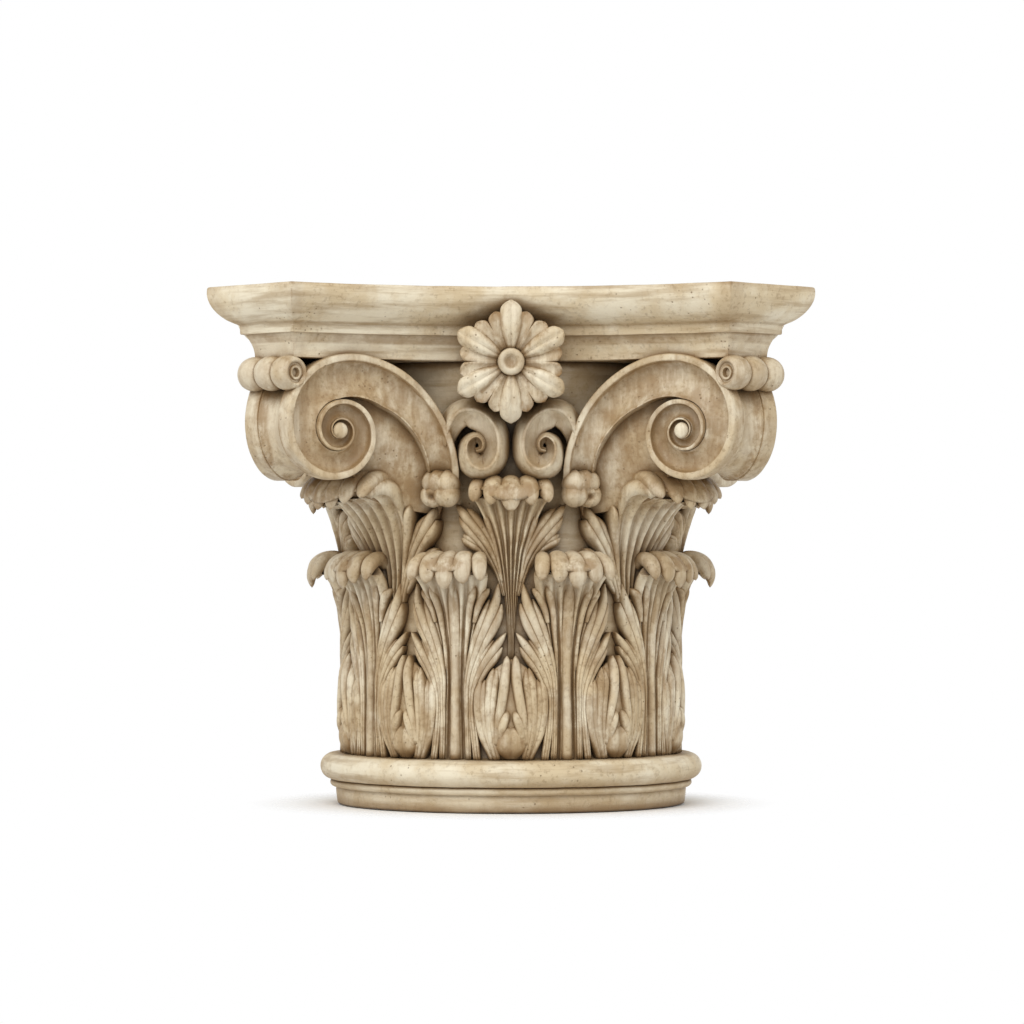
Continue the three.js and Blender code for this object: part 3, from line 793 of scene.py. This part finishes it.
BAND_SECTION = [
    (1.0, -7.0),
    (1.0, 3.3),
    (0.985, 4.3),
    (0.96, 4.7),
    (0.86, 4.7),
    (0.842, 4.2),
    (0.834, 1.8),
    (0.825, -1.4),
    (0.76, -3.2),
    (0.66, -4.5),
    (0.54, -5.0),
    (0.42, -4.9),
    (0.30, -4.1),
    (0.19, -2.8),
    (0.10, -1.2),
    (0.05, 0.4),
    (0.02, 0.6),
    (0.0, -0.6),
    (0.0, -15.0),
    (0.5, -12.0),
]
RIM_TONE = 0.45
STEP_TONE = 1.0
LIP_TONE = 0.6
CHANNEL_TONE = 0.9


def on_arc(along, z, proud):
    """A point on the hollow arc that the scrolls of the front side lie on."""
    along, z, proud = np.broadcast_arrays(along, z, proud)
    angle = along / ARC_RADIUS
    radius = ARC_RADIUS - proud
    return np.stack([radius * np.sin(angle), radius * np.cos(angle) - ARC_NEAREST - ARC_RADIUS, z], axis=-1)


def spiral(quarter):
    """Radius of the scroll's outer edge: quarter 0 is its top, 1 faces the middle of the side."""
    return SPIRAL_TOP * np.exp(SPIRAL_GROWTH * quarter + STEM_GROWTH * np.maximum(quarter, 0) ** 2)


def on_scroll(quarter, radius, proud):
    angle = quarter * math.pi / 2
    return on_arc(EYE_ALONG - radius * np.sin(angle), EYE_HEIGHT + radius * np.cos(angle), proud)


def across_corner(points):
    return points[..., [1, 0, 2]] * (-1, -1, 1)


def other_face(shape):
    return across_corner(shape[0]), shape[1], shape[2]


quarters = np.linspace(SPIRAL_FIRST, SPIRAL_LAST, SPIRAL_STEPS)
outer = spiral(quarters)
stem_width = np.interp(quarters, [0.7, SPIRAL_LAST], [STEM_WIDTH, STEM_FOOT_WIDTH])
inner = np.maximum(spiral(quarters - TURN), outer - stem_width)
share, proud = np.array(BAND_SECTION).T
width = outer - inner
size = np.clip(width / STEM_WIDTH, 0, 1)
rim_width = np.minimum(RIM_WIDTH, RIM_MOST * width)[:, None]
rim = outer[:, None] - rim_width * (1 - share[None, :]) / (1 - RIM_SHARE)
channel = inner[:, None] + (width[:, None] - rim_width) * share[None, :] / RIM_SHARE
radius = np.where(share >= RIM_SHARE, rim, channel)
sinking = np.clip((quarters - STEM_SINKS_FROM) / (SPIRAL_LAST - STEM_SINKS_FROM), 0, 1)[:, None] ** 2
height = proud[None, :] * np.where(proud > -6.9, size[:, None] ** 0.5, 1) + 2.5 * (1 - size[:, None])
band_rings = on_scroll(quarters[:, None], radius, height - STEM_SINKS_BY * sinking)
on_rim = (share > 0.83) & (proud > 2)
on_lip = (share < 0.08) & (proud > -1)
at_step = (share < 0.845) & (share > 0.8)
band_tone = np.select([at_step, on_rim, on_lip], [STEP_TONE, RIM_TONE, LIP_TONE], CHANNEL_TONE)
band = skin(band_rings, np.broadcast_to(band_tone, band_rings.shape[:2]))

eye_turns = np.linspace(0, 4, 40, endpoint=False)
eye_section = [(1.0, -5.0), (1.0, 3.2), (0.93, 4.4), (0.75, 5.4), (0.45, 6.0), (0.15, 6.2)]
eye_rings = np.stack([on_scroll(eye_turns, EYE_RADIUS * part, lift) for part, lift in eye_section])
eye = skin(eye_rings, 0.1)

core_quarters = np.linspace(CORE_FIRST, CORE_LAST, 72)
core_foot = np.array(CORE_FOOT)


def core_outline(inset, proud):
    """The ground between scroll and stem, drawn in by inset and carried down behind the leaf."""
    upper = on_scroll(core_quarters, spiral(core_quarters) - inset, proud)
    return np.concatenate([upper, on_arc(core_foot[:, 0], core_foot[:, 1], CORE_FOOT_PROUD)])


sunk = core_outline(SUNK_INSET, SUNK_PROUD)
core_rings = [sunk]
for w in np.linspace(0, 1, 33):
    hollow = 0.8 + 5.0 * math.sin(math.pi * (w - 0.07) / 0.86) ** 0.7 if 0.07 < w < 0.93 else 0.8
    face = core_outline(hollow, CORE_PROUD)
    core_rings.append(face + (across_corner(face) - face) * w)
core_rings.append(across_corner(sunk))
# The sunk ground is stained most: brown wash, and painted shade of its deep recess.
core_wash_and_shade = np.full((len(core_rings), len(sunk)), EDGE_TONE)
core_wash_and_shade[[0, -1]] = SUNK_WASH_AND_SHADE
core = skin(np.stack(core_rings), core_wash_and_shade)

volutes = carve("volutes", [core, band, other_face(band), eye, other_face(eye)], sharp=40)
set_round(volutes, carved_plaster, copies=SIDES, uneven=1.0, seed=6.0)

# Corner rolls
# A small baluster of three rings lies across each corner between the volutes and the abacus.
# It is turned in the model and cast with the rest, and its ends show a sunk ring.
ROLL_CORNER = 223.0
ROLL_HEIGHT = 293.0
ROLL_HALF = 24.5
ROLL_RINGS = 3
ROLL_RADIUS = 11.6
ROLL_NECK = 8.2
ROLL_END = [
    (0.8, 0.86),
    (2.6, 0.86),
    (3.2, 0.96),
    (4.6, 0.97),
    (5.2, 0.92),
    (6.6, 0.92),
    (7.4, 0.99),
    (8.2, 1.0),
]

spindle = np.linspace(-1, 1, 73)
swell = np.abs(np.sin((spindle + 1) / 2 * ROLL_RINGS * math.pi)) ** 0.5
roll_profile = (
    [(radius, -ROLL_HALF * at) for radius, at in ROLL_END]
    + [(ROLL_NECK + (ROLL_RADIUS - ROLL_NECK) * s, ROLL_HALF * x) for x, s in zip(spindle, swell)]
    + [(radius, ROLL_HALF * at) for radius, at in ROLL_END[::-1]]
)
roll_turns = np.linspace(0, math.tau, 40, endpoint=False)
roll_radius, roll_along = np.array(roll_profile).T[:, :, None]
roll_rings = np.stack(
    np.broadcast_arrays(
        roll_along,
        -ROLL_CORNER + roll_radius * np.cos(roll_turns),
        ROLL_HEIGHT + roll_radius * np.sin(roll_turns),
    ),
    axis=-1,
)
rolls = carve("corner_rolls", [skin(roll_rings, 0.6)], sharp=55)
set_round(rolls, carved_plaster, copies=SIDES, first=math.pi / 4, uneven=0.9, seed=7.0)

# Small scrolls
# Two narrow bands curl in towards each other under every rosette and meet in the middle of the side.
# They are cast with the bell, each a shallow spiral channel behind a thin rim.
SCROLL_DEPTH = 134.0
SCROLL_BACK = -26.0
SCROLL_RIM = [
    (43.5, 246.0, 5.0, -6.0),
    (42.5, 255.0, 7.5, -2.5),
    (39.8, 262.5, 9.5, -0.5),
    (34.5, 268.6, 11.0, 0.3),
    (26.5, 270.4, 12.5, 0.6),
    (16.5, 266.2, 12.5, 0.9),
    (10.2, 257.5, 11.5, 1.2),
    (8.2, 247.0, 11.0, 1.5),
    (10.6, 236.5, 11.0, 1.8),
    (18.2, 230.2, 11.0, 2.2),
    (26.4, 233.4, 9.5, 2.7),
    (29.8, 241.5, 7.5, 3.2),
    (28.0, 249.4, 5.5, 3.8),
    (22.8, 252.2, 4.2, 4.4),
    (18.9, 248.6, 3.2, 4.9),
    (19.6, 243.8, 2.6, 5.3),
    (23.4, 242.6, 2.0, 5.6),
]
SCROLL_SECTION = [
    (7.6, 0.0, SCROLL_BACK),
    (7.6, 0.0, -11.0),
    (5.8, 0.0, -5.6),
    (3.8, 0.0, -2.2),
    (2.0, 0.0, 0.4),
    (0.9, 0.0, 1.9),
    (0.0, 0.0, 2.3),
    (-1.0, 0.0, 1.9),
    (-1.5, 0.0, 0.4),
    (-1.3, -0.15, -1.6),
    (-0.8, -0.45, -3.4),
    (-0.4, -0.75, -4.2),
    (0.0, -1.0, -4.4),
    (0.0, -1.0, SCROLL_BACK),
]


def in_front(across, z, lift):
    across, z, lift = np.broadcast_arrays(across, z, lift)
    return np.stack([across, -(SCROLL_DEPTH + lift), z], axis=-1)


scroll_path = smooth_rows(SCROLL_RIM, 130)
way = np.gradient(scroll_path[:, :2], axis=0)
way /= np.linalg.norm(way, axis=1)[:, None]
outwards = np.stack([way[:, 1], -way[:, 0]], axis=-1)
reach, part, lift = np.array(SCROLL_SECTION).T
narrow = np.clip(scroll_path[:, 2:3] / 9.0, 0.25, 1)
offset = reach[None, :] * narrow + part[None, :] * scroll_path[:, 2:3]
flat = scroll_path[:, None, :2] + offset[..., None] * outwards[:, None, :]
rings = in_front(flat[..., 0], flat[..., 1], np.maximum(lift[None, :] + scroll_path[:, 3:4], SCROLL_BACK))
tone = np.where(np.abs(reach) < 1.2, 0.7, 0.2) * (part > -0.1) + 0.45 * (part < -0.1)
scroll = skin(rings, np.broadcast_to(tone, rings.shape[:2]))
small_scrolls = carve("small_scrolls", both_hands([scroll]))
set_round(small_scrolls, carved_plaster, copies=SIDES, uneven=0.9, seed=9.0)

# Buds
# A knot of small rolled leaves closes the foot of each volute's stem.
# Four round lobes are modelled together, one of them pierced, and cast with the stem.
BUD_TURN = math.radians(21.6)
BUD_RADIUS = 127.0
BUD_HEIGHT = 217.5
BUD_LOBES = [
    (-3.8, 3.6, 9.6, 0.0),
    (4.0, 4.4, 9.0, 0.0),
    (-4.4, -3.4, 9.0, 0.0),
    (6.0, -4.2, 8.2, 0.6),
]
BUD_PIERCED_TOWARDS = np.array([0.9, -0.3, -0.2])


def bud_lobe(across, up, size, pierced):
    lat = np.linspace(-0.49, 0.49, 20)[:, None] * math.pi
    lon = np.linspace(0, math.tau, 28, endpoint=False)[None, :]
    out = np.cos(lat) * np.cos(lon)
    side = np.cos(lat) * np.sin(lon)
    rise = np.broadcast_to(np.sin(lat), out.shape)
    aim = BUD_PIERCED_TOWARDS / np.linalg.norm(BUD_PIERCED_TOWARDS)
    towards = np.clip(out * aim[0] + side * aim[1] + rise * aim[2], -1, 1)
    dent = pierced * np.exp(-((np.arccos(towards) / 0.42) ** 4))
    crease = 0.14 * np.exp(-(((side - 0.15) / 0.14) ** 2)) * (out > 0)
    swell = size * (1 - dent - crease)
    radius = BUD_RADIUS + out * swell * 1.15
    angle = BUD_TURN + (across + side * swell) / BUD_RADIUS
    stain = 0.5 + 0.5 * dent / 0.6
    return skin(around(radius, angle, BUD_HEIGHT + up + rise * swell), stain)


buds = carve("buds", both_hands([bud_lobe(*lobe) for lobe in BUD_LOBES]))
set_round(buds, carved_plaster, copies=SIDES, uneven=0.9, seed=10.0)

# Rosettes
# An open flower of six three-lobed petals sits over the middle of each side of the abacus.
# It is cast on a block in front of the mouldings, and the wash is left in its button and lobe tips.
ROSETTE_HEIGHT = 301.0
ROSETTE_DEPTH = 151.0
ROSETTE_LEAN = 0.17
PETALS = 6
PETAL_MIDDLE = [
    (8, 2.6, 4.0),
    (15, 5.2, 7.5),
    (24, 7.2, 9.5),
    (32, 7.4, 8.5),
    (37, 6.4, 6.0),
    (40.5, 4.6, 3.5),
]
PETAL_SIDE = [(9, 2.0, 3.5), (16, 4.0, 6.0), (24, 5.6, 7.2), (30, 5.8, 6.6), (34.5, 4.6, 4.4)]
PETAL_SIDE_TURN = math.radians(18.5)
BUTTON = [(9.2, -3.0), (9.0, 5.0), (8.4, 7.4), (7.0, 8.8), (5.4, 8.8), (4.3, 7.8), (3.2, 6.2), (1.0, 5.8)]
BUTTON_TONES = [0.1, 0.1, 0.2, 0.35, 0.4, 0.9, 1.0, 1.0]
BLOCK = [(30, -36.0), (30, -7.0), (28, -4.0), (22, -2.0), (6, -1.0)]
BLOCK_TONES = [0.4] * 5


def on_rosette(across, up, lift):
    across, up, lift = np.broadcast_arrays(across, up, lift)
    y = -(ROSETTE_DEPTH + lift + ROSETTE_LEAN * up * (lift > -20))
    return np.stack([across, y, ROSETTE_HEIGHT + up], axis=-1)


def spooned(v):
    """A lobe's section: a hollow between two raised edges."""
    return 0.35 + 0.65 * np.abs(v) ** 1.6 - 0.9 * np.abs(v) ** 9


def petal_lobe(rows, turn, section, edge, stain):
    s, c = math.sin(turn), math.cos(turn)
    return blade(
        lambda a, b, lift: on_rosette(a * c + b * s, b * c - a * s, lift),
        [(0.0, out, half, lift) for out, half, lift in rows],
        section=section,
        edge=edge,
        sink=-7.0,
        steps=24,
        across=17,
        stain=stain,
    )


rosette_shapes = []
for petal in range(PETALS):
    turn = petal * math.tau / PETALS
    rosette_shapes.append(petal_lobe(PETAL_MIDDLE, turn, creased, 0.25, (0.0, 0.45)))
    rosette_shapes.extend(
        petal_lobe(PETAL_SIDE, turn + hand * PETAL_SIDE_TURN, spooned, 0.4, (0.0, 1.3)) for hand in (-1, 1)
    )
disc_turns = np.linspace(0, math.tau, 44, endpoint=False)
for section, tones in ((BUTTON, BUTTON_TONES), (BLOCK, BLOCK_TONES)):
    sine, cosine = np.sin(disc_turns), np.cos(disc_turns)
    rings = np.stack([on_rosette(r * sine, r * cosine, lift) for r, lift in section])
    rosette_shapes.append(skin(rings, np.array(tones)[:, None]))
rosettes = carve("rosettes", rosette_shapes)
set_round(rosettes, carved_plaster, copies=SIDES, uneven=1.2, seed=11.0)

# Floor, light and camera
# A white floor that fades into a white backdrop, a broad soft light above in front, and a long lens.
FLOOR_RADIUS = 1.6
FADE_FROM = 0.118
FADE_TO = 0.19
STUDIO_LIGHT = 0.70
floor_mesh = bpy.data.meshes.new("floor")
floor_turns = np.linspace(0, math.tau, 97)[:-1]
floor_edge = [(FLOOR_RADIUS * math.sin(a), FLOOR_RADIUS * math.cos(a), 0.0) for a in floor_turns]
floor_mesh.from_pydata(floor_edge, [], [list(range(len(floor_edge)))[::-1]])
floor = bpy.data.objects.new("floor", floor_mesh)
bpy.context.scene.collection.objects.link(floor)

floor_paint = bpy.data.materials.new("white floor")
floor_paint.use_nodes = True
tree = floor_paint.node_tree
tree.nodes.clear()
place = tree.nodes.new("ShaderNodeTexCoord").outputs["Object"]
away = new_node(tree, "ShaderNodeVectorMath", [(0, place)], operation="LENGTH").outputs["Value"]
fade = new_node(
    tree,
    "ShaderNodeMapRange",
    [(0, away), (1, FADE_FROM), (2, FADE_TO)],
    interpolation_type="SMOOTHSTEP",
)
white = new_node(tree, "ShaderNodeBsdfDiffuse", [("Color", (0.98, 0.98, 0.97, 1))])
clear = tree.nodes.new("ShaderNodeBsdfTransparent")
blend = new_node(
    tree, "ShaderNodeMixShader", [(0, fade.outputs[0]), (1, white.outputs[0]), (2, clear.outputs[0])]
)
new_node(tree, "ShaderNodeOutputMaterial", [(0, blend.outputs[0])])
floor_mesh.materials.append(floor_paint)

world = bpy.data.worlds.new("white studio")
bpy.context.scene.world = world
world.use_nodes = True
tree = world.node_tree
tree.nodes.clear()
seen = tree.nodes.new("ShaderNodeLightPath").outputs["Is Camera Ray"]
strength = new_node(tree, "ShaderNodeMapRange", [(0, seen), (3, STUDIO_LIGHT), (4, 1.0)])
sky = new_node(tree, "ShaderNodeBackground", [("Color", (1, 1, 1, 1)), ("Strength", strength.outputs[0])])
new_node(tree, "ShaderNodeOutputWorld", [(0, sky.outputs[0])])


def soft_light(name, place, aim, size, power):
    data = bpy.data.lights.new(name, "AREA")
    data.shape = "RECTANGLE"
    data.size, data.size_y = size
    data.energy = power
    lamp = bpy.data.objects.new(name, data)
    lamp.location = place
    lamp.rotation_euler = (Vector(aim) - Vector(place)).to_track_quat("-Z", "Y").to_euler()
    bpy.context.scene.collection.objects.link(lamp)


soft_light("front light", (-0.35, -1.5, 1.35), (0, 0, 0.18), (1.3, 1.0), 15)
soft_light("left fill", (-1.7, -0.9, 0.7), (0, 0, 0.18), (0.9, 1.2), 3)
soft_light("right fill", (1.7, -0.9, 0.7), (0, 0, 0.18), (0.9, 1.2), 3)

CAMERA_AWAY = 2.73
CAMERA_HEIGHT = 0.172
CAMERA_LENS = 137.1
CAMERA_TILT = math.radians(0.66)
lens = bpy.data.cameras.new("camera")
lens.lens = CAMERA_LENS
lens.sensor_width = 36.0
camera = bpy.data.objects.new("camera", lens)
camera.location = (0.0007, -CAMERA_AWAY, CAMERA_HEIGHT)
camera.rotation_euler = (math.pi / 2 + CAMERA_TILT, 0, 0)
bpy.context.scene.collection.objects.link(camera)
bpy.context.scene.camera = camera
bpy.context.scene.view_settings.view_transform = "Standard"
